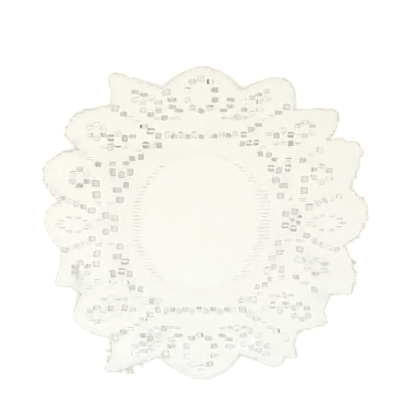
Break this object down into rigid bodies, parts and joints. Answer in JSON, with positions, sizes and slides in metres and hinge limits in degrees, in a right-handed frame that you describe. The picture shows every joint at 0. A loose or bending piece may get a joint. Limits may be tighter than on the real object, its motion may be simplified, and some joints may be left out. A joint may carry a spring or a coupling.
{
  "type": "lace doily",
  "caption": "Round cream lace doily with a plain knitted centre, an open lattice band and a scalloped petal border, lying flat",
  "frame": {"origin": "middle of the bounding box across and up the pattern, on the flat underside of the centre", "axes": "+Z out of the face that shows, +Y towards the top of the picture, +X to its right"},
  "size_m": [0.2062, 0.1992, 0.0024],
  "materials": {
    "lace": "matt knitted white to cream yarn"
  },
  "bodies": {
    "root": {"doily": "lace"}
  },
  "joints": []
}
